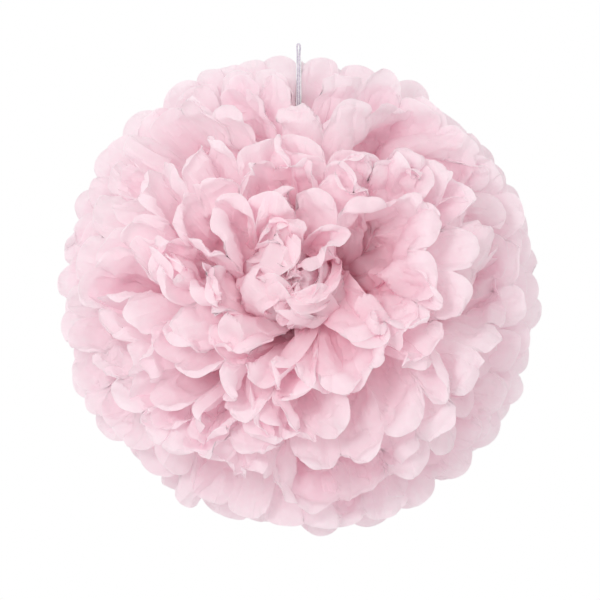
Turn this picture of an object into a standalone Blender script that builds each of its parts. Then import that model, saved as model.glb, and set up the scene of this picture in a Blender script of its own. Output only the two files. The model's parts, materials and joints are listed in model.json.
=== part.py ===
"""Tissue paper pom-pom that hangs on a doubled cord, as separate named solids.

Sixteen sheets of tissue are pleated together and tied at the middle by a wire. Both ends of the pleated
strip are opened like fans into half circles, and the sheets are pulled apart, eight to the front and eight
to the back, so that each sheet makes one layer of petals. A cord is knotted through the wire's eye.

Units are metres, +Z is up and -Y is the front, where the first flower centre faces. The origin is the
inside of the cord loop's crown, where a hook carries the ball. The ball and the knot turn
together below the cord, and the ball swings on the knot about the top of the wire's eye.
"""

import math

import bmesh
import bpy
from mathutils import Vector
from mathutils.geometry import interpolate_bezier

MM = 0.001

# The ball of petals.
BALL_RADIUS = 199 * MM
POLE_SHARE = 0.9  # the ball is a little flatter from front to back than it is wide
CENTRE_Z = -209 * MM

# One tissue sheet: a rectangle of PANELS panels, each PANEL_WIDTH wide, folded to and fro.
SHEETS_EACH_SIDE = 8
PANELS = 15
PANEL_WIDTH = 42 * MM
FIRST_LAYER_DEG = 9.0  # angle from the front-to-back axis to the innermost layer
LAST_LAYER_DEG = 86.0  # and to the outermost one, beside the middle of the ball
FAN_HALF_DEG = 89.5  # each end of the strip opens to just under a half circle
NOTCH_SHARE = 0.93  # reach of the notch between two rounded pleat ends, beside the petal's tip
SHEET_THICKNESS = 0.5 * MM

# The gathered waist, a round bundle with the sheets stacked from front to back.
WAIST_HALF_LENGTH = 4 * MM
BUNDLE_RADIUS = 7.6 * MM
WAIST_PITCH = 0.9 * MM
BEND_STEP = 1.0 * MM  # each layer turns up this much further out than the one inside it

# The wire round the waist.
WIRE_RADIUS = 0.5 * MM
WIRE_CLEARANCE = 0.4 * MM
HOOP_RADIUS = BUNDLE_RADIUS + SHEET_THICKNESS / 2 + WIRE_CLEARANCE + WIRE_RADIUS
HOOP_OPEN_DEG = 8.0  # the hoop's legs leave its circle this far from its top and its bottom
TWIST_RADIUS = 0.65 * MM
TWIST_START = 0.8 * MM  # from the hoop to a twist
TOP_TWIST_LENGTH = 3.8 * MM
TOP_TWIST_TURNS = 1.25
TAIL_TWIST_LENGTH = 8 * MM
TAIL_TWIST_TURNS = 2.25
EYE_RADIUS = 2.6 * MM
EYE_OPEN_DEG = 15.0
EYE_Z = CENTRE_Z + HOOP_RADIUS + TWIST_START + TOP_TWIST_LENGTH + EYE_RADIUS + 0.4 * MM
PIVOT_Z = EYE_Z + EYE_RADIUS  # the top of the eye, which the cord's bight carries

# The hanging cord's route in millimetres, from the knot up over the crown and down again.
CORD_RADIUS = 0.65 * MM
ROUTE_STEPS = 3  # points of the tube for each stretch of the route
CORD_ROUTE = (
    (0.9, 0.0, -177.0),
    (0.9, 0.0, -160.0),
    (0.9, 0.1, -140.0),
    (0.9, 0.1, -118.0),
    (0.9, 0.0, -96.0),
    (0.9, 0.0, -74.0),
    (0.9, 0.0, -52.0),
    (0.9, 0.0, -32.0),
    (0.9, 0.0, -16.0),
    (1.2, 0.0, -7.5),
    (2.1, 0.0, -2.6),
    (1.7, 0.0, -0.3),
    (0.0, 0.0, 0.65),
    (-1.7, 0.0, -0.3),
    (-2.1, 0.0, -2.6),
    (-1.2, 0.0, -7.5),
    (-0.9, 0.0, -16.0),
    (-0.9, 0.0, -32.0),
    (-0.9, 0.0, -52.0),
    (-0.9, 0.0, -74.0),
    (-0.9, 0.0, -96.0),
    (-0.9, 0.1, -118.0),
    (-0.9, 0.1, -140.0),
    (-0.9, 0.0, -160.0),
    (-0.9, 0.0, -177.0),
)

# The knot, which links the cord to the eye.
KNOT_GAP = 0.3 * MM
KNOT_TOP_Z = CORD_ROUTE[0][2] * MM - KNOT_GAP
LEG_HALF_SPACING = CORD_ROUTE[0][0] * MM
BIGHT_RADIUS = WIRE_RADIUS + CORD_RADIUS + WIRE_CLEARANCE
WRAP_RADIUS = 1.6 * MM
WRAP_PITCH = 1.7 * MM
WRAP_TURNS = 2.75
WRAP_START_Z = PIVOT_Z + 3.8 * MM

PINK_TISSUE = (0.905, 0.655, 0.735)
WHITE_WIRE = (0.85, 0.84, 0.82)
WHITE_CORD = (0.80, 0.78, 0.82)


def clear_scene():
    for obj in list(bpy.data.objects):
        bpy.data.objects.remove(obj)


def collection_for_parts(name):
    collection = bpy.data.collections.new(name)
    bpy.context.scene.collection.children.link(collection)
    return collection


def plain_material(name, colour, roughness):
    material = bpy.data.materials.new(name)
    material.use_nodes = True
    shader = material.node_tree.nodes["Principled BSDF"]
    shader.inputs["Base Color"].default_value = (*colour, 1)
    shader.inputs["Roughness"].default_value = roughness
    shader.inputs["Metallic"].default_value = 0
    return material


def axis_empty(name, height, collection, parent=None):
    """An empty on a joint's axis, which carries the pieces that move about it."""
    empty = bpy.data.objects.new(name, None)
    empty.empty_display_size = 10 * MM
    collection.objects.link(empty)
    empty.parent = parent
    empty.location.z = height - (parent.location.z if parent else 0)
    return empty


def add_piece(name, data, collection, carrier=None, carrier_z=0.0):
    """Data that is drawn in world coordinates becomes an object, carried by a joint's empty."""
    piece = bpy.data.objects.new(name, data)
    collection.objects.link(piece)
    piece.parent = carrier
    piece.location.z = -carrier_z
    return piece


def layer_angle(layer):
    """The angle from the ball's front-to-back axis to a layer, 0 for the innermost."""
    share = layer / (SHEETS_EACH_SIDE - 1)
    return math.radians(FIRST_LAYER_DEG + share * (LAST_LAYER_DEG - FIRST_LAYER_DEG))


def pleat_sway(angle):
    """How far a fold at the rim swings to either side of its layer, so that each panel keeps its width."""
    panel_turn = math.radians(2 * FAN_HALF_DEG) / PANELS
    opened = BALL_RADIUS * panel_turn * math.sin(angle)
    fold_depth = math.sqrt(PANEL_WIDTH**2 - opened**2) / 2
    return fold_depth / BALL_RADIUS


def column_fold(column):
    """-1 or +1 at a fold, and 0 half way across a panel. There are two columns to a panel."""
    return (-1, 0, 1, 0)[column % 4]


def sheet_profile(layer, column):
    """(distance out, distance forward) of a column at the waist, at its bend and at the rim."""
    forward = (SHEETS_EACH_SIDE - layer - 0.5) * WAIST_PITCH
    gathered = math.sqrt(BUNDLE_RADIUS**2 - forward**2)
    angle = layer_angle(layer) + column_fold(column) * pleat_sway(layer_angle(layer))
    reach = BALL_RADIUS * (NOTCH_SHARE if column_fold(column) else 1)
    return (
        (gathered, forward),
        (gathered + (layer + 1) * BEND_STEP, forward),
        (reach * math.sin(angle), reach * POLE_SHARE * math.cos(angle)),
    )


def sheet_mesh(name, layer, side, material):
    """One sheet as a grid with a column for each fold and each petal tip, and rows from rim to rim.

    side is -1 for a layer pulled to the front and +1 for one pulled to the back.
    """
    columns = 2 * PANELS
    stations = (2, 1, 0, 0, 1, 2)
    grid = bmesh.new()
    bmesh.ops.create_grid(grid, x_segments=columns, y_segments=len(stations) - 1, size=0.5)
    for vertex in grid.verts:
        column = round((vertex.co.x + 0.5) * columns)
        row = round((vertex.co.y + 0.5) * (len(stations) - 1))
        turn = math.radians(FAN_HALF_DEG * (2 * column / columns - 1))
        out, forward = sheet_profile(layer, column)[stations[row]]
        wing = 1 if row >= len(stations) // 2 else -1
        vertex.co.x = wing * (WAIST_HALF_LENGTH + out * math.cos(turn))
        vertex.co.y = side * forward
        vertex.co.z = CENTRE_Z + out * math.sin(turn)
    bmesh.ops.triangulate(grid, faces=grid.faces, quad_method="FIXED")
    mesh = bpy.data.meshes.new(name)
    grid.to_mesh(mesh)
    grid.free()
    mesh.materials.append(material)
    return mesh


def thicken_paper(sheet):
    paper = sheet.modifiers.new("paper", "SOLIDIFY")
    paper.thickness = SHEET_THICKNESS
    paper.offset = 0


def tube_curve(name, points, radius, material):
    """A closed tube along the points."""
    curve = bpy.data.curves.new(name, "CURVE")
    curve.dimensions = "3D"
    curve.bevel_depth = radius
    curve.bevel_resolution = 2
    curve.use_fill_caps = True
    spline = curve.splines.new("POLY")
    spline.points.add(len(points) - 1)
    for target, (x, y, z) in zip(spline.points, points):
        target.co = (x, y, z, 1)
    curve.materials.append(material)
    return curve


def helix(radius, start_z, end_z, start_turn, end_turn, steps):
    """Points that wind round the Z axis. A turn of 0 is at +Y."""
    points = []
    for step in range(steps + 1):
        share = step / steps
        angle = 2 * math.pi * (start_turn + share * (end_turn - start_turn))
        height = start_z + share * (end_z - start_z)
        points.append((radius * math.sin(angle), radius * math.cos(angle), height))
    return points


def arc(radius, start_deg, end_deg, steps):
    """(along, up) points of an arc, with 0 degrees on the first axis."""
    angles = [math.radians(start_deg + (end_deg - start_deg) * i / steps) for i in range(steps + 1)]
    return [(radius * math.cos(a), radius * math.sin(a)) for a in angles]


def waist_wire_points():
    """One wire folded at the eye: both legs twist below it, hug the bundle and twist again in a tail."""
    leg_deg = 90 - HOOP_OPEN_DEG
    tail_start = CENTRE_Z - HOOP_RADIUS - TWIST_START
    tail_end = tail_start - TAIL_TWIST_LENGTH
    twist_start = CENTRE_Z + HOOP_RADIUS + TWIST_START
    twist_end = twist_start + TOP_TWIST_LENGTH
    strand = helix(TWIST_RADIUS, tail_end, tail_start, -TAIL_TWIST_TURNS, 0, 20)
    strand += [(0, along, CENTRE_Z + up) for along, up in arc(HOOP_RADIUS, -leg_deg, leg_deg, 14)]
    strand += helix(TWIST_RADIUS, twist_start, twist_end, 0, TOP_TWIST_TURNS, 12)
    eye_arc = arc(EYE_RADIUS, -90 + EYE_OPEN_DEG, 270 - EYE_OPEN_DEG, 12)
    eye = [(along, 0, EYE_Z + up) for along, up in eye_arc]
    other_strand = [(-x, -y, z) for x, y, z in reversed(strand)]
    return strand + eye + other_strand


def knot_points():
    """A bight round the top of the eye, one leg up the middle and the other wrapped round it."""
    wrap_end_z = WRAP_START_Z + WRAP_TURNS * WRAP_PITCH
    middle_steps = 5
    middle_leg = [(-LEG_HALF_SPACING, 0, KNOT_TOP_Z)]
    for step in range(middle_steps + 1):
        height = wrap_end_z + step / middle_steps * (WRAP_START_Z - wrap_end_z)
        middle_leg.append((0, 0, height))
    bight = [(0, along, PIVOT_Z + up) for along, up in arc(BIGHT_RADIUS, 20, -200, 12)]
    wrap = helix(WRAP_RADIUS, WRAP_START_Z, wrap_end_z, 0.5, 0.5 + WRAP_TURNS, 30)
    tail = [(LEG_HALF_SPACING, 0, KNOT_TOP_Z)]
    return middle_leg + bight + wrap + tail


def smooth_route(route):
    """Points of a smooth curve that passes through the route's own points."""
    knots = [Vector(point) * MM for point in route]
    ends = [2 * knots[0] - knots[1]] + knots + [2 * knots[-1] - knots[-2]]
    points = []
    for before, start, end, after in zip(ends, ends[1:], ends[2:], ends[3:]):
        reach = (end - start).length / 3
        leaving = start + (end - before).normalized() * reach
        arriving = end - (after - start).normalized() * reach
        points += interpolate_bezier(start, leaving, arriving, end, ROUTE_STEPS + 1)[:-1]
    points.append(knots[-1])
    return points


def main():
    clear_scene()
    parts = collection_for_parts("tissue_pom_pom")
    tissue = plain_material("pink_tissue", PINK_TISSUE, 0.75)
    wire = plain_material("white_wire", WHITE_WIRE, 0.5)
    cord = plain_material("white_cord", WHITE_CORD, 0.85)
    turn_axis = axis_empty("ball_turn_axis", KNOT_TOP_Z, parts)
    swing_axis = axis_empty("ball_swing_axis", PIVOT_Z, parts, turn_axis)

    hanging = tube_curve("hanging_cord", smooth_route(CORD_ROUTE), CORD_RADIUS, cord)
    add_piece("hanging_cord", hanging, parts)
    knot = tube_curve("cord_knot", knot_points(), CORD_RADIUS, cord)
    add_piece("cord_knot", knot, parts, turn_axis, KNOT_TOP_Z)
    tie = tube_curve("waist_wire", waist_wire_points(), WIRE_RADIUS, wire)
    add_piece("waist_wire", tie, parts, swing_axis, PIVOT_Z)
    for side, side_name in ((-1, "front"), (1, "back")):
        for layer in range(SHEETS_EACH_SIDE):
            name = f"tissue_sheet_{side_name}_{layer + 1}"
            mesh = sheet_mesh(name, layer, side, tissue)
            thicken_paper(add_piece(name, mesh, parts, swing_axis, PIVOT_Z))


main()
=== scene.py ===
"""Looks of a fluffed tissue paper pom-pom on a doubled cotton cord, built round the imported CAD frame.

Each tissue sheet starts as its flat cut: fifteen panels side by side, scalloped at both ends. It is
pleated and pinched at the waist, opened like two fans, pulled into its layer, fluffed petal by petal, and
then settled, which pulls the paper towards its flat lengths and pushes the layers apart. Neither is fully
reached: the paper ends a little smaller than its cut, and sheets still cross, mostly in the inner half of
the ball. The cord and its knot are laid tubes along the route that the frame's cord follows.
Lengths are in metres, +Z is up, and the first flower centre faces -Y.
"""

import json
import math

import bpy
import numpy as np
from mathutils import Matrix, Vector
from mathutils.geometry import interpolate_bezier


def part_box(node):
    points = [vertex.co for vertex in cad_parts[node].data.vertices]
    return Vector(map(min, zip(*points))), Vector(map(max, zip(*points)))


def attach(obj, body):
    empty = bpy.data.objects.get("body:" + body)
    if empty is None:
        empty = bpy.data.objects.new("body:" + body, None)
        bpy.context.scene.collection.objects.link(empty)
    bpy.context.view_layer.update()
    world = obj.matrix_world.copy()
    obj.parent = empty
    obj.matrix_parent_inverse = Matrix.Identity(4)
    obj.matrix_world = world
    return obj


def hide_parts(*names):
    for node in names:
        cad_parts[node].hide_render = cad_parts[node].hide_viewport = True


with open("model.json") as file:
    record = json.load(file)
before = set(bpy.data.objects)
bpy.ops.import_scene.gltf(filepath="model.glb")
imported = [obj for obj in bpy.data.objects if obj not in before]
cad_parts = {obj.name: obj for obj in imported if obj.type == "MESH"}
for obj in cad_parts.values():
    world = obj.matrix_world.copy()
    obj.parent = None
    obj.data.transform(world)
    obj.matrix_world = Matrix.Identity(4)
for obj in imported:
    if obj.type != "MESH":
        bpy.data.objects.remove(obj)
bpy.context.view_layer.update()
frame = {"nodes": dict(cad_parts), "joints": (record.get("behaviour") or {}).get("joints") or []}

MM = 0.001

# The ball, from the frame's outermost sheet.
RIM_LOW, RIM_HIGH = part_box("tissue_sheet_front_8")
CENTRE_Z = (RIM_LOW.z + RIM_HIGH.z) / 2
BALL_RADIUS = (RIM_HIGH.x - RIM_LOW.x) / 2 + 4 * MM
POLE_SHARE = 0.92  # front to back, beside the width
SWING_JOINT = next(joint for joint in frame["joints"] if joint["name"] == "ball_swing")
PIVOT_Z = SWING_JOINT["pos_m"][2]

# One sheet, and how the sheets are stacked at the waist.
LAYERS = 8
PANELS = 15
PANEL_WIDTH = 42 * MM
FLAT_WIDTH = PANELS * PANEL_WIDTH
WAIST_HALF = 4 * MM
FLAT_LENGTH = 2 * (BALL_RADIUS + WAIST_HALF)
BUNDLE_RADIUS = 7.4 * MM
WAIST_PITCH = 0.9 * MM
FAN_HALF = math.radians(90)
PANEL_TURN = 2 * FAN_HALF / PANELS
NOTCH_DEPTH = 22 * MM  # the cut between two rounded pleat ends
SEED = 15

# The grid that settles, and the finer one that is drawn.
COLUMNS_A_PANEL = 4
COLUMNS = PANELS * COLUMNS_A_PANEL + 1
ROWS = np.array([0, 8, 20, 36, 54, 72, 90, 107, 122, 136, 149, 161, 172, 182, 191, 199]) / 199
UPRIGHT_SHARE = 0.36  # the inner share of a petal that stays straight
SETTLE_ROUNDS = 160
FINE_A_PANEL = 18
FINE_ROWS = 72

# The hanging cord, from the knot up over the crown and down again.
CORD_DIAMETER = 1.6 * MM
PULLED_TIGHT = 1.3 * MM  # the same cord inside the knot
CORD_ROUTE = (
    (0.0009, 0.0, -0.177),
    (0.0009, 0.0, -0.160),
    (0.0009, 0.0001, -0.140),
    (0.0009, 0.0001, -0.118),
    (0.0009, 0.0, -0.096),
    (0.0009, 0.0, -0.074),
    (0.0009, 0.0, -0.052),
    (0.0009, 0.0, -0.032),
    (0.0009, 0.0, -0.016),
    (0.00095, 0.0, -0.0075),
    (0.0013, 0.0, -0.0026),
    (0.0010, 0.0, -0.0006),
    (0.0, 0.0, 0.0003),
    (-0.0010, 0.0, -0.0006),
    (-0.0013, 0.0, -0.0026),
    (-0.00095, 0.0, -0.0075),
    (-0.0009, 0.0, -0.016),
    (-0.0009, 0.0, -0.032),
    (-0.0009, 0.0, -0.052),
    (-0.0009, 0.0, -0.074),
    (-0.0009, 0.0, -0.096),
    (-0.0009, 0.0001, -0.118),
    (-0.0009, 0.0001, -0.140),
    (-0.0009, 0.0, -0.160),
    (-0.0009, 0.0, -0.177),
)


def build_camera():
    """Looks at the front flower from a little below its centre and to its right."""
    frame_width = 0.501
    distance = 2.5
    data = bpy.data.cameras.new("camera")
    data.sensor_width = 36
    data.lens = data.sensor_width * distance / frame_width
    camera = bpy.data.objects.new("camera", data)
    aim = Vector((1.2 * MM, 0, CENTRE_Z - 5.4 * MM))
    azimuth, elevation = math.radians(2.0), math.radians(-2.0)
    back = Vector((
        math.sin(azimuth) * math.cos(elevation),
        -math.cos(azimuth) * math.cos(elevation),
        math.sin(elevation),
    ))
    camera.location = aim + back * distance
    camera.rotation_euler = (-back).to_track_quat("-Z", "Y").to_euler()
    bpy.context.scene.collection.objects.link(camera)
    bpy.context.scene.camera = camera


def linear(hex_colour):
    """An sRGB hex colour as linear RGBA."""
    parts = [int(hex_colour[i : i + 2], 16) / 255 for i in (1, 3, 5)]
    return (*[c / 12.92 if c <= 0.04045 else ((c + 0.055) / 1.055) ** 2.4 for c in parts], 1)


def add(tree, kind, inputs=None, **settings):
    """Adds one node with its settings and links. An input is a value, or another node's output."""
    node = tree.nodes.new(kind)
    for name, value in settings.items():
        setattr(node, name, value)
    for name, value in (inputs or {}).items():
        if isinstance(value, bpy.types.NodeSocket):
            tree.links.new(value, node.inputs[name])
        else:
            node.inputs[name].default_value = value
    return node


def new_tree(name):
    """An empty material and its node tree."""
    material = bpy.data.materials.new(name)
    material.use_nodes = True
    material.node_tree.nodes.clear()
    return material, material.node_tree


def smooth_curve(route, steps):
    """Points of a smooth curve that passes through the route's own points."""
    knots = [Vector(point) for point in route]
    ends = [2 * knots[0] - knots[1]] + knots + [2 * knots[-1] - knots[-2]]
    points = []
    for before, start, end, after in zip(ends, ends[1:], ends[2:], ends[3:]):
        reach = (end - start).length / 3
        leaving = start + (end - before).normalized() * reach
        arriving = end - (after - start).normalized() * reach
        count = max(2, round((end - start).length / (steps * MM)))
        points += interpolate_bezier(start, leaving, arriving, end, count + 1)[:-1]
    points.append(knots[-1])
    return np.array(points)


STRANDS = 3
LAY_LENGTH = 5.5 * MM  # one turn of a strand
GROOVE = 0.2  # depth of the valley between two strands, as a share of the radius
SIDES_OF_CORD = 18


def laid_tube(name, path, radius, material):
    """A twisted cord along a path, with a groove between each two strands, capped at both ends."""
    along = np.gradient(path, axis=0)
    along /= np.linalg.norm(along, axis=1, keepdims=True)
    across = np.empty_like(path)
    across[0] = np.cross(along[0], (0, 1, 0))
    for i in range(len(path)):
        across[i] = across[max(i - 1, 0)] - along[i] * np.dot(across[max(i - 1, 0)], along[i])
        across[i] /= np.linalg.norm(across[i])
    other = np.cross(along, across)
    travelled = np.concatenate([[0], np.cumsum(np.linalg.norm(np.diff(path, axis=0), axis=1))])
    turn = np.linspace(0, 2 * math.pi, SIDES_OF_CORD, endpoint=False)
    phase = STRANDS * (turn[None, :] / 2 + math.pi * travelled[:, None] / LAY_LENGTH)
    reach = radius * (1 - GROOVE * (1 - np.abs(np.cos(phase))))[..., None]
    ring = np.cos(turn)[None, :, None] * across[:, None] + np.sin(turn)[None, :, None] * other[:, None]
    points = (path[:, None] + reach * ring).reshape(-1, 3)
    index = np.arange(len(points)).reshape(len(path), SIDES_OF_CORD)
    after = np.roll(index, -1, axis=1)
    quads = np.stack([index[:-1], after[:-1], after[1:], index[1:]], -1).reshape(-1, 4)
    caps = [index[0, ::-1].tolist(), index[-1].tolist()]
    mesh = bpy.data.meshes.new(name)
    mesh.from_pydata(points, [], quads.tolist() + caps)
    mesh.shade_smooth()
    mesh.materials.append(material)
    tube = bpy.data.objects.new(name, mesh)
    bpy.context.scene.collection.objects.link(tube)
    return tube


def helix(radius, start_z, end_z, start_turn, end_turn, steps):
    """Points that wind round the Z axis. A turn of 0 is at +Y."""
    share = np.linspace(0, 1, steps + 1)
    angle = 2 * math.pi * (start_turn + share * (end_turn - start_turn))
    height = start_z + share * (end_z - start_z)
    return np.stack([radius * np.sin(angle), radius * np.cos(angle), height], -1)


def knot_path():
    """A bight round the top of the wire's eye, one leg up the middle and the other wrapped round it."""
    leg_x, leg_top = CORD_ROUTE[0][0], CORD_ROUTE[0][2] - 0.3 * MM
    wrap_start, wrap_end = PIVOT_Z + 3.8 * MM, PIVOT_Z + 8.475 * MM
    bight_radius, wrap_radius = 1.55 * MM, 1.6 * MM
    angle = np.radians(np.linspace(20, -200, 13))
    bight_y = bight_radius * np.cos(angle)
    bight_z = PIVOT_Z + bight_radius * np.sin(angle)
    bight = np.stack([0 * angle, bight_y, bight_z], -1)
    middle = [(0, 0, z) for z in np.linspace(wrap_end, wrap_start, 6)]
    wrap = helix(wrap_radius, wrap_start, wrap_end, 0.5, 3.25, 30)
    route = [(-leg_x, 0, leg_top), *middle, *bight.tolist(), *wrap.tolist(), (leg_x, 0, leg_top)]
    return smooth_curve(route, 0.4)


def cotton_cord():
    """Cotton cord: soft twisted yarn, so it is matt, a little fuzzy, and shaded in the lay's grooves.

    Its bleached lilac-white is mottled, because loose fibres catch the light between darker hollows.
    """
    material, tree = new_tree("laid_cotton_cord")
    place = add(tree, "ShaderNodeTexCoord")
    mottle = add(
        tree, "ShaderNodeTexNoise",
        {"Vector": place.outputs["Object"], "Scale": 1 / (2.2 * MM)},
    )
    fibre = add(
        tree, "ShaderNodeTexNoise",
        {"Vector": place.outputs["Object"], "Scale": 1 / (0.25 * MM), "Detail": 3},
    )
    shade = add(tree, "ShaderNodeValToRGB", {"Fac": mottle.outputs["Fac"]})
    ramp = shade.color_ramp
    ramp.elements[0].position, ramp.elements[0].color = 0.35, linear("#c4c1cf")
    ramp.elements[1].position, ramp.elements[1].color = 0.65, linear("#e4e2ec")
    fuzz = add(
        tree, "ShaderNodeBump",
        {"Height": fibre.outputs["Fac"], "Strength": 0.6, "Distance": 0.15 * MM},
    )
    yarn = add(
        tree, "ShaderNodeBsdfPrincipled",
        {
            "Base Color": shade.outputs["Color"], "Roughness": 0.9, "Normal": fuzz.outputs["Normal"],
            "Specular IOR Level": 0.3, "Sheen Weight": 0.3, "Sheen Roughness": 0.5,
        },
    )
    add(tree, "ShaderNodeOutputMaterial", {"Surface": yarn.outputs[0]})
    return material


def build_cord():
    cotton = cotton_cord()
    path = smooth_curve(CORD_ROUTE, 0.5)
    knot = laid_tube("tied_knot", knot_path(), PULLED_TIGHT / 2, cotton)
    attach(knot, "knot")
    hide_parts("cord_knot")
    cord = laid_tube("doubled_cord", path, CORD_DIAMETER / 2, cotton)
    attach(cord, "cord")
    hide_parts("hanging_cord")


def florists_wire():
    """Florist's wire: thin steel wound with a crepe paper tape, so it is matt and ribbed."""
    material, tree = new_tree("paper_wound_wire")
    place = add(tree, "ShaderNodeTexCoord")
    ribs = add(
        tree, "ShaderNodeTexWave",
        {"Vector": place.outputs["Object"], "Scale": 0.314 / (1.1 * MM), "Distortion": 2.5, "Detail": 2},
        bands_direction="DIAGONAL",
    )
    # The colour follows the ribs: darker in their valleys and paler on their crests, as painted shade.
    colour = add(
        tree, "ShaderNodeMix",
        {"Factor": ribs.outputs["Fac"], 6: linear("#d9d2cc"), 7: linear("#f1eeea")},
        data_type="RGBA",
    )
    tape = add(
        tree, "ShaderNodeBump",
        {"Height": ribs.outputs["Fac"], "Strength": 0.5, "Distance": 0.12 * MM},
    )
    paint = add(
        tree, "ShaderNodeBsdfPrincipled",
        {"Base Color": colour.outputs[2], "Roughness": 0.75, "Normal": tape.outputs["Normal"]},
    )
    add(tree, "ShaderNodeOutputMaterial", {"Surface": paint.outputs[0]})
    return material


def smooth_step(x):
    x = np.clip(x, 0, 1)
    return x * x * (3 - 2 * x)


def pinch(y):
    """The share of its flat width that the paper keeps at a distance y from the waist tie."""
    return np.clip(0.1 + y / (60 * MM), 0, 1)


def petal_reaches(rng, side):
    """How far from the flower's axis each tip lies, as layers by petals, in shares of the radius.

    The gaps between layers are uneven, so that some petals lie close on the next layer and others stand
    clear above a deep pocket.
    """
    around = 2 * PANELS
    clumps = 13
    own = rng.gamma(0.8, 1, (LAYERS + 1, around))
    shared = rng.gamma(0.8, 1, (LAYERS + 1, clumps))
    place = np.arange(around) * clumps / around + rng.uniform(0, 1, (LAYERS + 1, 1))
    low = place.astype(int)
    blend = smooth_step(place - low)
    rows = np.arange(LAYERS + 1)[:, None]
    shared = shared[rows, low % clumps] * (1 - blend) + shared[rows, (low + 1) % clumps] * blend
    gap = 0.3 * own + 0.7 * shared + 0.2
    share = np.cumsum(gap, 0)[:-1] / gap.sum(0)
    reach = 1 - 0.8 * (1 - share) ** 1.6
    reach[-1] = np.maximum(reach[-1], 0.95)
    # Most of the innermost petals stay upright and curl in over the middle.
    upright = rng.random(around) < 0.6
    reach[0] = np.where(upright, rng.uniform(0.0, 0.12, around), reach[0])
    # Beside the cord the front petals are pulled down, so that its upper end shows above them.
    beside_cord = [PANELS - 1, PANELS]
    if side < 0:
        reach[:, beside_cord] = np.minimum(0.89 * reach[:, beside_cord], 0.825)
    else:
        reach[-2, beside_cord] = 0.965
    return reach


def pleat_groups(rng):
    """Splits the panels into groups that fold over each other: one or two forward and one back."""
    sizes = []
    while sum(sizes) < PANELS:
        left = PANELS - sum(sizes)
        wide = left == 3 or (left > 4 and rng.random() < 0.45)
        sizes.append(3 if wide else 2)
    return sizes


def fold_course(rng, out, y):
    """Azimuth advance of each panel, and how far each fold stands off its layer, for every row."""
    width = PANEL_WIDTH * pinch(y)
    sizes = np.array(pleat_groups(rng))
    spread = 0.15 + rng.gamma(1.3, 1, len(sizes))
    spread *= PANELS / (sizes * spread).sum()
    mean_out = out.mean(1)
    room = (0.97 * width - PANEL_TURN * mean_out) / (PANEL_TURN * mean_out * (spread.max() - 1) + 1e-6)
    room = np.clip(room, 0, 1)
    advance = np.empty_like(out)
    level = np.zeros(PANELS + 1)
    start = 0
    for size, share in zip(sizes, spread):
        forward = slice(start, start + size - 1)
        reach = out[:, start : start + size].mean(1)
        total = size * PANEL_TURN * reach * (1 + (share - 1) * room)
        tight = rng.uniform(0.8, 0.97)
        back = np.clip((size - 1) * tight * width - total, -tight * width, tight * width)
        advance[:, forward] = ((back + total) / (size - 1))[:, None]
        advance[:, start + size - 1] = -back
        level[start] = -1
        level[start + size - 1] = 1
        start += size
    level[PANELS] = -1
    opened = PANEL_TURN * out
    laid = smooth_step((y / BALL_RADIUS - 0.15) / 0.45)[:, None]
    advance = opened + laid * (advance - opened)
    width = width[:, None]
    depth = np.sqrt(np.maximum(width**2 - advance**2, (0.2 * width) ** 2))
    at_fold = np.concatenate([depth[:, :1], (depth[:, 1:] + depth[:, :-1]) / 2, depth[:, -1:]], 1)
    zigzag = np.where(np.arange(PANELS + 1) % 2, -1, 1)
    level = zigzag * (1 - laid) + level * laid
    if rng.random() < 0.5:
        return advance[:, ::-1], -level[:, ::-1] * at_fold[:, ::-1] / 2
    return advance, level * at_fold / 2


def tip_angles(root, rise, reach, step):
    """The lean at the tip that brings each petal's tip as far out as it should be."""
    candidates = np.radians(np.linspace(-75, 125, 101))
    lean = root[:, None, None] + (candidates[None, :, None] - root[:, None, None]) * rise[:, None]
    out = (step * np.sin(lean)).sum(-1)
    return candidates[np.abs(out - reach[:, None]).argmin(1)]


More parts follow.
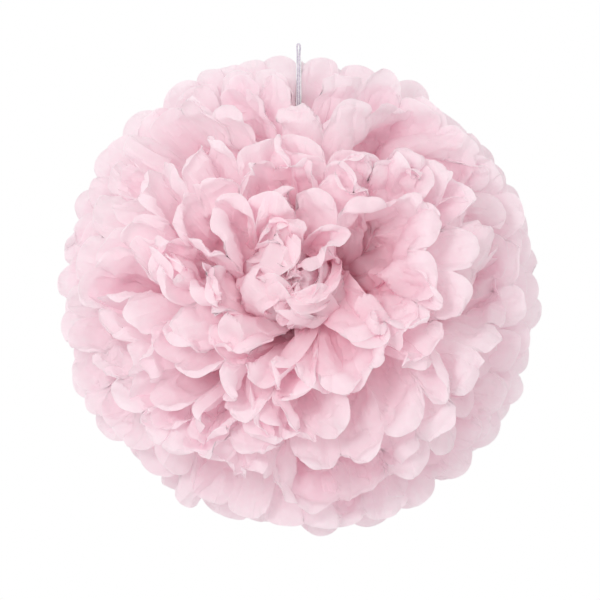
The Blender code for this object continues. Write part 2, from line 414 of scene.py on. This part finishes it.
def ruffled_fan(rng, side, layer, wing, reach, seams):
    """Where the grid points of one half of a sheet would like to be, as rows by columns by xyz."""
    y = ROWS * BALL_RADIUS
    step = np.diff(y, prepend=0)
    ramp = np.clip((ROWS - UPRIGHT_SHARE) / (1 - UPRIGHT_SHARE), 0, 1)

    # A petal runs along its root angle, bends, and runs straight on. Inner ones flop over late.
    straight = np.arcsin(np.clip(reach, 0, 0.999))
    root_share = 0.3 + 0.62 * reach**1.5 + rng.normal(0, 0.07, PANELS)
    cupped = rng.random(PANELS) < 0.1 * (reach < 0.9)
    root = straight * (root_share + 0.35 * cupped) + 0.3 * (reach < 0.17)
    root = np.clip(root, 0.03, math.radians(88))
    bend_at = np.clip(1 - 0.86 * reach + rng.normal(0, 0.05, PANELS), 0.1, 0.7)
    bend_width = rng.uniform(0.2, 0.55, PANELS)
    rise = smooth_step((ROWS - bend_at[:, None]) / bend_width[:, None] + 0.5)
    tip = tip_angles(root, rise, reach * BALL_RADIUS, step)
    drift = rng.normal(0, math.radians(2.5), PANELS)
    bow = rng.normal(0, 2.6 * MM, PANELS)

    column = np.arange(COLUMNS)
    panel = np.minimum(column // COLUMNS_A_PANEL, PANELS - 1)
    share = (column - panel * COLUMNS_A_PANEL) / COLUMNS_A_PANEL
    before = np.maximum(panel - 1, 0)
    after = np.minimum(panel + 1, PANELS - 1)

    def over_columns(value):
        """A value of each petal, or of its rows, blended half and half at its folds."""
        left = np.maximum(0.5 - share, 0)
        right = np.maximum(share - 0.5, 0)
        return value[panel].T * (1 - left - right) + value[before].T * left + value[after].T * right

    lean = over_columns(root) + over_columns((tip - root)[:, None] * rise)
    step = step[:, None]
    out = np.cumsum(step * np.sin(lean), 0)
    forward = np.cumsum(step * np.cos(lean), 0)

    stack = (LAYERS - layer - 0.5) * WAIST_PITCH
    gathered = math.sqrt(BUNDLE_RADIUS**2 - stack**2) * (1 - ROWS)[:, None]
    middle = panel[:, None] == np.arange(PANELS)
    panel_out = (out @ middle) / COLUMNS_A_PANEL + gathered
    advance, fold_offset = fold_course(rng, panel_out, y)
    psi = np.cumsum(advance / np.maximum(panel_out, 1 * MM), 1)
    psi = np.concatenate([np.zeros((len(y), 1)), psi], 1)
    low_end = -FAN_HALF + seams[0] * ramp[:, None]
    high_end = FAN_HALF + seams[1] * ramp[:, None]
    whole = np.arange(PANELS + 1) / PANELS
    psi = low_end + psi + (high_end - low_end - psi[:, -1:]) * whole

    offset = fold_offset[:, panel] * (1 - share) + fold_offset[:, panel + 1] * share
    offset = offset + (np.sin(math.pi * share) * bow[panel])[None, :] * ramp[:, None]
    out = np.maximum(out + offset * np.cos(lean), np.minimum(0.12 * y, 3 * MM)[:, None]) + gathered
    forward = np.maximum(forward - offset * np.sin(lean), 0.01 * y[:, None])
    turn = psi[:, panel] * (1 - share) + psi[:, panel + 1] * share + over_columns(drift) * ramp[:, None]
    points = np.empty((len(ROWS), COLUMNS, 3))
    points[..., 0] = wing * (WAIST_HALF * (1 - 0.92 * ramp[:, None]) + out * np.cos(turn))
    points[..., 1] = side * (stack + forward)
    points[..., 2] = out * np.sin(turn)
    return points


def ball_share(points):
    """How far out each point lies in the flattened ball: 0 at its centre and 1 on its surface."""
    rounded = (points[..., 1] / POLE_SHARE) ** 2
    return np.sqrt(points[..., 0] ** 2 + rounded + points[..., 2] ** 2) / BALL_RADIUS


def settle(points):
    """Pulls the paper towards its flat lengths. points is fans by rows by columns by xyz."""
    target = points.copy()
    rows = ROWS * BALL_RADIUS
    across = (PANEL_WIDTH / COLUMNS_A_PANEL) * pinch(rows)
    along = np.diff(rows)
    slant = np.sqrt(((across[1:] + across[:-1]) / 2) ** 2 + along**2)
    fold = (np.arange(COLUMNS) % COLUMNS_A_PANEL) == 0

    def hold(a, b, length, stiffness, only_push=False):
        """Moves two slices of points towards their flat distance."""
        gap = b - a
        size = np.maximum(np.sqrt((gap * gap).sum(-1)), 1e-9)
        error = size - length
        if only_push:
            error = np.minimum(error, 0)
        move = gap * (0.5 * stiffness * error / size)[..., None]
        a += move
        b -= move

    middle = np.nonzero(~fold[1:-1])[0] + 1
    for turn in range(SETTLE_ROUNDS):
        pull = 0.05 * (1 - turn / SETTLE_ROUNDS) + 0.004
        points += pull * (target - points)
        for start in (0, 1):
            a = points[:, 1:, start:-1:2]
            b = points[:, 1:, start + 1 :: 2]
            count = min(a.shape[2], b.shape[2])
            hold(a[:, :, :count], b[:, :, :count], across[1:, None], 0.9)
        for start in (0, 1):
            a = points[:, start:-1:2]
            b = points[:, start + 1 :: 2]
            count = min(a.shape[1], b.shape[1])
            length = along[start::2][:count]
            hold(a[:, :count], b[:, :count], length[:, None], 0.9)
        hold(points[:, 1:-1, :-1], points[:, 2:, 1:], slant[1:, None], 0.3)
        hold(points[:, 1:-1, 1:], points[:, 2:, :-1], slant[1:, None], 0.3)
        # Bending along the petal, and across it inside each panel.
        hold(points[:, 2:-2], points[:, 4:], (rows[4:] - rows[2:-2])[:, None], 0.03)
        left = points[:, 2:, middle - 1]
        right = points[:, 2:, middle + 1]
        gap = right - left
        size = np.maximum(np.sqrt((gap * gap).sum(-1)), 1e-9)
        error = size - 2 * across[2:, None]
        move = gap * (0.5 * 0.10 * error / size)[..., None]
        points[:, 2:, middle - 1] += move
        points[:, 2:, middle + 1] -= move
        if turn % 4 == 3:
            part_layers(points)
        points *= np.minimum(1, 1 / np.maximum(ball_share(points), 1e-9))[..., None]
        points[:, :2] = target[:, :2]
    return points


# Where neighbouring layers are compared: cells round the flower's axis by cells out from the centre.
AROUND_BINS = 150
REACH_BINS = 12
LAYER_GAP = 1.2 * MM
LEAST_REACH = 30 * MM  # closer in, the gap isn't made any wider in angle
BUNDLE_END = 45 * MM  # closer in, the gathered waist is left alone
MOST_SHIFT = 0.08  # radians in one pass


def part_layers(points):
    """Pushes neighbouring layers apart along the polar direction wherever one has passed the other."""
    shape = points.shape
    grid = points.reshape(2, LAYERS, -1, 3)
    for side in range(2):
        p = grid[side]
        y = np.abs(p[..., 1]) / POLE_SHARE
        flat = np.hypot(p[..., 0], p[..., 2])
        reach = np.hypot(flat, y)
        polar = np.arctan2(flat, y)
        around = np.arctan2(p[..., 2], p[..., 0])
        a = ((around + math.pi) / (2 * math.pi) * AROUND_BINS).astype(int) % AROUND_BINS
        r = np.clip((reach / BALL_RADIUS * REACH_BINS).astype(int), 0, REACH_BINS - 1)
        cell = a * REACH_BINS + r
        shift = np.zeros_like(polar)
        for k in range(LAYERS - 1):
            lower = np.full(AROUND_BINS * REACH_BINS, -1.0)
            upper = np.full(AROUND_BINS * REACH_BINS, 9.0)
            np.maximum.at(lower, cell[k], polar[k])
            np.minimum.at(upper, cell[k + 1], polar[k + 1])
            gap = LAYER_GAP / np.maximum(reach[k], LEAST_REACH)
            over = polar[k] + gap - upper[cell[k]]
            shift[k] -= 0.5 * np.clip(over, 0, MOST_SHIFT)
            gap = LAYER_GAP / np.maximum(reach[k + 1], LEAST_REACH)
            under = lower[cell[k + 1]] + gap - polar[k + 1]
            shift[k + 1] += 0.5 * np.clip(under, 0, MOST_SHIFT)
        shift *= reach > BUNDLE_END
        polar = np.clip(polar + 0.5 * shift, 0.01, math.pi / 2 - 0.004)
        sign = np.sign(p[..., 1])
        flat_new = reach * np.sin(polar)
        scale = flat_new / np.maximum(flat, 1e-9)
        p[..., 0] *= scale
        p[..., 2] *= scale
        p[..., 1] = sign * reach * np.cos(polar) * POLE_SHARE
    points[...] = grid.reshape(shape)


def curve_weights(knots, samples, creases=()):
    """How much each knot counts at each sample of a smooth curve. A crease keeps a corner."""
    count = len(knots)
    index = np.clip(np.searchsorted(knots, samples, side="right") - 1, 0, count - 2)
    span = knots[index + 1] - knots[index]
    t = (samples - knots[index]) / span
    smooth = np.zeros((count, count))
    forward = np.zeros((count, count))
    backward = np.zeros((count, count))
    for i in range(count):
        lo, hi = max(i - 1, 0), min(i + 1, count - 1)
        smooth[i, hi] += 1 / (knots[hi] - knots[lo])
        smooth[i, lo] -= 1 / (knots[hi] - knots[lo])
        if i < count - 1:
            forward[i, i + 1] = 1 / (knots[i + 1] - knots[i])
            forward[i, i] = -forward[i, i + 1]
        if i > 0:
            backward[i, i] = 1 / (knots[i] - knots[i - 1])
            backward[i, i - 1] = -backward[i, i]
    leaving, arriving = smooth.copy(), smooth.copy()
    for i in creases:
        if 0 < i < count - 1:
            leaving[i] = 0.1 * smooth[i] + 0.9 * forward[i]
            arriving[i] = 0.1 * smooth[i] + 0.9 * backward[i]
    weights = np.zeros((len(samples), count))
    rows = np.arange(len(samples))
    weights[rows, index] += 2 * t**3 - 3 * t**2 + 1
    weights[rows, index + 1] += 3 * t**2 - 2 * t**3
    weights += ((t**3 - 2 * t**2 + t) * span)[:, None] * leaving[index]
    weights += ((t**3 - t**2) * span)[:, None] * arriving[index + 1]
    return weights


def crumple(rng, u, y, cell):
    """Ridged noise in the flat sheet: hollows between sharp little ridges, from -1 to 1."""
    size_u, size_y = int(FLAT_WIDTH / cell) + 4, int(BALL_RADIUS / (1.8 * cell)) + 4
    values = rng.uniform(-1, 1, (size_u, size_y))
    a = np.clip(u / cell, 0, size_u - 2.001)
    b = np.clip(y / (1.8 * cell), 0, size_y - 2.001)
    i, j = a.astype(int), b.astype(int)
    s, t = smooth_step(a - i), smooth_step(b - j)
    low = values[i, j] * (1 - s) + values[i + 1, j] * s
    high = values[i, j + 1] * (1 - s) + values[i + 1, j + 1] * s
    return 1 - 2 * np.sqrt(np.abs(low * (1 - t) + high * t))


CRUMPLES = ((2.6 * MM, 21 * MM), (1.4 * MM, 9 * MM), (0.35 * MM, 4.5 * MM))  # height and size
TIP_DROP = 9 * MM  # the most that one petal's tip falls short of the rim
PROUD = 1.03  # how far crumples and folds may stand out of the ball
FOLDED_SHARE = 0.4  # petals with a corner turned over
CREASE_ROUNDING = 2.5 * MM
SHARP_CREASE = math.radians(22)


def fine_fan(rng, coarse, wing):
    """The finished points of one half of a sheet, scalloped at the rim, and their flat places."""
    fine_columns = PANELS * FINE_A_PANEL + 1
    u = np.linspace(0, PANELS, fine_columns)
    panel = np.minimum(u.astype(int), PANELS - 1)
    across = 2 * (u - panel) - 1
    notch = NOTCH_DEPTH * rng.uniform(0.7, 1.6, PANELS + 1)
    depth = notch[panel] * (across < 0) + notch[panel + 1] * (across >= 0)
    rim = BALL_RADIUS - depth * (1 - np.sqrt(1 - (0.99 * across) ** 2))
    rim -= rng.uniform(0, TIP_DROP, PANELS)[panel] * (1 - across**2)
    share = 1 - (1 - np.linspace(0, 1, FINE_ROWS)) ** 1.35
    y = share[None, :] * rim[:, None]

    knots = np.arange(COLUMNS) / COLUMNS_A_PANEL
    by_column = curve_weights(knots, u, range(0, COLUMNS, COLUMNS_A_PANEL))
    by_row = curve_weights(ROWS * BALL_RADIUS, y.ravel()).reshape(fine_columns, FINE_ROWS, -1)
    columns = np.einsum("fc,rcx->frx", by_column, coarse)
    points = np.einsum("fsr,frx->fsx", by_row, columns)

    du = np.gradient(points, axis=0)
    dy = np.gradient(points, axis=1)
    normal = np.cross(du, dy)
    normal /= np.maximum(np.linalg.norm(normal, axis=-1, keepdims=True), 1e-9)
    flat_u = np.broadcast_to((u * PANEL_WIDTH)[:, None], y.shape)
    fade = smooth_step(y / (60 * MM))
    height = np.zeros(y.shape)
    for tall, cell in CRUMPLES:
        height = height + tall * crumple(rng, flat_u, y, cell)
    wave = rng.uniform(0.5, 1.3, PANELS)[panel] * across + rng.uniform(0, 2, PANELS)[panel]
    flutter = rng.uniform(1, 4, PANELS)[panel] * MM * np.sin(math.pi * wave) * (1 - across**4)
    height += flutter[:, None] * share[None, :] ** 7
    points = turn_corners(rng, points, normal, panel, across, y, notch)
    points = clear_of_cord(points + normal * (height * fade)[..., None], wing)
    points *= np.minimum(1, PROUD / np.maximum(ball_share(points), 1e-9))[..., None]
    # The rim row of each petal, which the material paints paler: a painted highlight.
    rim_highlight = np.zeros(y.shape)
    rim_highlight[:, -1] = 1
    # How open to the light each place lies, from its share of the petal and its distance from the axis.
    # The material paints the paper deeper pink where this is low, as painted shade.
    from_axis = np.hypot(points[..., 0], points[..., 2]) / BALL_RADIUS
    open_to_light = (y / rim[:, None]) * (0.45 + 0.55 * np.clip(from_axis, 0, 1))
    return points, flat_u, wing * (WAIST_HALF + y) + FLAT_LENGTH / 2, open_to_light, rim_highlight


def turn_corners(rng, points, normal, panel, across, y, notch):
    """Folds a corner of some petals over, along a crease from the bottom of the notch to the rim."""
    along_u = np.gradient(points, axis=0)
    along_u /= np.maximum(np.linalg.norm(along_u, axis=-1, keepdims=True), 1e-9)
    along_y = np.cross(normal, along_u)
    half = PANEL_WIDTH / 2
    moved = points.copy()
    for k in range(PANELS):
        folded = rng.random() < FOLDED_SHARE
        corner = rng.choice((-1, 1))
        cut = rng.uniform(-0.25, 0.45)
        turn = rng.choice((-1, 1)) * math.radians(rng.uniform(40, 115))
        if not folded:
            continue
        low = BALL_RADIUS - notch[k + (corner > 0)]
        crease_u, crease_y = (cut - 1) * half, BALL_RADIUS - low
        size = math.hypot(crease_u, crease_y)
        crease_u, crease_y = crease_u / size, crease_y / size
        in_petal = panel == k
        u = (corner * across[in_petal] - 1)[:, None] * half
        beyond = np.maximum(u * crease_y - (y[in_petal] - low) * crease_u, 0)
        angle = turn * smooth_step(beyond / CREASE_ROUNDING)
        outwards = corner * crease_y * along_u[in_petal] - crease_u * along_y[in_petal]
        moved[in_petal] += ((np.cos(angle) - 1) * beyond)[..., None] * outwards
        moved[in_petal] += (np.sin(angle) * beyond)[..., None] * normal[in_petal]
    return moved


def clear_of_cord(points, wing):
    """Keeps a slot free for the cord wherever the ball's swing would bring paper across it.

    Paper that lay inside the slot ends on its flat wall, and some folds lie on each other there.
    """
    slot_half, swing, ease_off = 2.2 * MM, math.radians(10), 12 * MM
    height = points[..., 2] + CENTRE_Z - PIVOT_Z
    limit = np.maximum(height, 0) * math.tan(swing) + 3 * MM
    near = smooth_step((limit + ease_off - np.abs(points[..., 1])) / ease_off)
    near = near * smooth_step((height + 6 * MM) / (6 * MM))
    points[..., 0] += wing * np.maximum(slot_half - wing * points[..., 0], 0) * near
    return points


def sheet_object(name, fans, material):
    """Both halves of a sheet joined through the waist as one open mesh, with its flat places as UVs."""
    points, flat_u, flat_y, open_to_light, rim_highlight = (
        np.concatenate([left[:, ::-1], right], axis=1) for left, right in zip(*fans)
    )
    flat = np.stack([flat_u, flat_y], -1)
    columns, rows = points.shape[:2]
    points = points + np.array([0, 0, CENTRE_Z])
    index = np.arange(columns * rows).reshape(columns, rows)
    quads = np.stack([index[:-1, :-1], index[1:, :-1], index[1:, 1:], index[:-1, 1:]], -1).reshape(-1, 4)
    mesh = bpy.data.meshes.new(name)
    mesh.from_pydata(points.reshape(-1, 3), [], quads)
    layer = mesh.uv_layers.new(name="flat_place")
    layer.data.foreach_set("uv", flat.reshape(-1, 2)[quads.ravel()].astype(np.float32).ravel())
    for attribute, values in (("open_to_light", open_to_light), ("rim_highlight", rim_highlight)):
        data = mesh.attributes.new(attribute, "FLOAT", "POINT").data
        data.foreach_set("value", values.astype(np.float32).ravel())
    mesh.shade_smooth()
    mesh.set_sharp_from_angle(angle=SHARP_CREASE)
    mesh.materials.append(material)
    sheet = bpy.data.objects.new(name, mesh)
    bpy.context.scene.collection.objects.link(sheet)
    return sheet


def tissue_paper():
    """Tissue paper: dyed pulp beaten thin, about 18 grams a square metre, so light passes through it.

    The pockets between layers glow pink, because each pass through the dye takes more green than red.
    Real paper is dyed evenly. Here the colour is also made paler toward the rims and away from the
    flower's
    axis, and deeper pink in the pockets: that is painted shade. Crumpling leaves fine ridges, mostly along
    the petal, and their hollows are painted pinker than the ridges, also painted shade. The petal rims are
    painted paler still, a painted highlight. The pulp lies in faint clouds.
    """
    material, tree = new_tree("dyed_tissue_paper")
    place = add(tree, "ShaderNodeUVMap", uv_map="flat_place")
    along = add(tree, "ShaderNodeMapping", {"Vector": place.outputs["UV"], "Scale": (1, 0.45, 1)})
    open_to_light = add(tree, "ShaderNodeAttribute", attribute_name="open_to_light")
    rim_highlight = add(tree, "ShaderNodeAttribute", attribute_name="rim_highlight")
    # Painted shade: the paper is painted deeper pink where it lies deep in a pocket or near the flower's
    # axis, and paler toward the open tips.
    depth = add(tree, "ShaderNodeValToRGB", {"Fac": open_to_light.outputs["Fac"]})
    ramp = depth.color_ramp
    ramp.elements[0].position, ramp.elements[0].color = 0.2, linear("#ffe5ed")
    ramp.elements[1].position, ramp.elements[1].color = 0.95, linear("#fefdfe")
    ramp.elements.new(0.5).color = linear("#fff6f9")
    ridges = add(
        tree, "ShaderNodeTexNoise",
        {"Vector": along.outputs[0], "Scale": 1 / (14 * MM), "Detail": 3, "Roughness": 0.5},
        noise_type="RIDGED_MULTIFRACTAL",
    )
    # Painted shade: the hollows between the crumples' ridges are painted pinker than the ridges.
    painted_crumple_shade = add(
        tree, "ShaderNodeMapRange",
        {"Value": ridges.outputs["Fac"], "From Min": 0.2, "From Max": 0.8, "To Min": 0.0, "To Max": 1.0},
    )
    painted_crumple_colour = add(
        tree, "ShaderNodeMixRGB",
        {"Fac": painted_crumple_shade.outputs[0], "Color1": linear("#ffeff4"), "Color2": linear("#ffffff")},
    )
    crumple_shaded = add(
        tree, "ShaderNodeMixRGB",
        {"Fac": 0.5, "Color1": depth.outputs["Color"], "Color2": painted_crumple_colour.outputs[0]},
        blend_type="MULTIPLY",
    )
    cloud = add(
        tree, "ShaderNodeTexNoise",
        {"Vector": place.outputs["UV"], "Scale": 1 / (5 * MM), "Detail": 4, "Roughness": 0.65},
    )
    thickness = add(
        tree, "ShaderNodeMapRange",
        {"Value": cloud.outputs["Fac"], "From Min": 0.35, "From Max": 0.65, "To Min": 0.0, "To Max": 1.0},
    )
    cloud_colour = add(
        tree, "ShaderNodeMixRGB",
        {"Fac": thickness.outputs[0], "Color1": linear("#fff8fb"), "Color2": linear("#ffffff")},
    )
    clouded = add(
        tree, "ShaderNodeMixRGB",
        {"Fac": 0.6, "Color1": crumple_shaded.outputs[0], "Color2": cloud_colour.outputs[0]},
        blend_type="MULTIPLY",
    )
    # Painted highlight: the paper is painted paler along the petals' rims.
    colour = add(
        tree, "ShaderNodeMixRGB",
        {"Fac": rim_highlight.outputs["Fac"], "Color1": clouded.outputs[0], "Color2": linear("#fffdfe")},
    )
    fibre = add(
        tree, "ShaderNodeTexNoise",
        {"Vector": place.outputs["UV"], "Scale": 1 / (1.2 * MM), "Detail": 3},
    )
    crumples = add(
        tree, "ShaderNodeBump",
        {"Height": ridges.outputs["Fac"], "Strength": 0.8, "Distance": 1.6 * MM},
    )
    grain = add(
        tree, "ShaderNodeBump",
        {
            "Height": fibre.outputs["Fac"], "Strength": 0.3, "Distance": 0.15 * MM,
            "Normal": crumples.outputs["Normal"],
        },
    )
    face = add(
        tree, "ShaderNodeBsdfPrincipled",
        {
            "Base Color": colour.outputs[0], "Roughness": 0.65, "Normal": grain.outputs["Normal"],
            "Specular IOR Level": 0.2,
        },
    )
    through = add(
        tree, "ShaderNodeBsdfTranslucent",
        {"Color": colour.outputs[0], "Normal": grain.outputs["Normal"]},
    )
    paper = add(tree, "ShaderNodeMixShader", {0: 0.4, 1: face.outputs[0], 2: through.outputs[0]})
    add(tree, "ShaderNodeOutputMaterial", {"Surface": paper.outputs[0]})
    return material


def build_sheets():
    paper = tissue_paper()
    fans, places = [], []
    for s in range(2):
        side = (-1, 1)[s]
        reaches = petal_reaches(np.random.default_rng(SEED + s), side)
        for layer in range(LAYERS):
            rng = np.random.default_rng(SEED + 100 * (s + 1) + layer)
            seams = rng.normal(0, math.radians(7), 2)
            if side > 0 and layer >= LAYERS - 2:
                # The last back layer parts at the cord. The one before it is turned by about half a petal.
                seams[1] = math.radians(7) * (layer < LAYERS - 1)
            for wing in (1, -1):
                # Petals are numbered round the ball: up the right wing and down the left one.
                reach = reaches[layer, :PANELS] if wing > 0 else reaches[layer, PANELS:][::-1]
                ends = (wing * seams[0], wing * seams[1])
                fans.append(ruffled_fan(rng, side, layer, wing, reach, ends))
                places.append((s, layer, wing))
    settled = dict(zip(places, settle(np.stack(fans))))
    for s, name in enumerate(("front", "back")):
        for layer in range(LAYERS):
            rng = np.random.default_rng(SEED + 1000 * (s + 1) + layer)
            halves = []
            for wing in (-1, 1):
                halves.append(fine_fan(rng, settled[s, layer, wing], wing))
            sheet = sheet_object(f"petals_{name}_{layer + 1}", halves, paper)
            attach(sheet, "ball")
            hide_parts(f"tissue_sheet_{name}_{layer + 1}")


def plain(name, colour, roughness):
    material = bpy.data.materials.new(name)
    material.use_nodes = True
    shader = material.node_tree.nodes["Principled BSDF"]
    shader.inputs["Base Color"].default_value = linear(colour)
    shader.inputs["Roughness"].default_value = roughness
    return material


def build_stage():
    floor_z, floor_radius = -0.62, 1.2
    bpy.ops.mesh.primitive_circle_add(
        vertices=96, radius=floor_radius, fill_type="NGON", location=(0, 0, floor_z),
    )
    floor = bpy.context.object
    floor.name = "floor"
    floor.data.materials.append(plain("pale_floor", "#f2f0f1", 0.9))
    world = bpy.data.worlds.new("studio")
    bpy.context.scene.world = world
    world.use_nodes = True
    tree = world.node_tree
    tree.nodes.clear()
    path = add(tree, "ShaderNodeLightPath")
    strength = add(tree, "ShaderNodeMapRange", {0: path.outputs["Is Camera Ray"], 3: 0.88, 4: 1.0})
    sky = add(tree, "ShaderNodeBackground", {"Color": (1, 1, 1, 1), "Strength": strength.outputs[0]})
    add(tree, "ShaderNodeOutputWorld", {"Surface": sky.outputs[0]})


def soft_box(name, position, size, power, target):
    data = bpy.data.lights.new(name, "AREA")
    data.shape = "DISK"
    data.size = size
    data.energy = power
    light = bpy.data.objects.new(name, data)
    light.location = position
    light.rotation_euler = (Vector(target) - Vector(position)).to_track_quat("-Z", "Y").to_euler()
    bpy.context.scene.collection.objects.link(light)


def light_settings():
    """Enough bounces for light to wander through many layers of pale paper."""
    scene = bpy.context.scene
    scene.cycles.diffuse_bounces = 12
    scene.cycles.max_bounces = 16
    scene.cycles.transmission_bounces = 16
    scene.view_settings.view_transform = "Standard"


build_camera()
build_cord()
frame["nodes"]["waist_wire"].data.materials.clear()
frame["nodes"]["waist_wire"].data.materials.append(florists_wire())
build_sheets()
build_stage()
soft_box("key", (-0.5, -1.85, 0.1), 0.45, 8.5, (0, 0, CENTRE_Z))
light_settings()
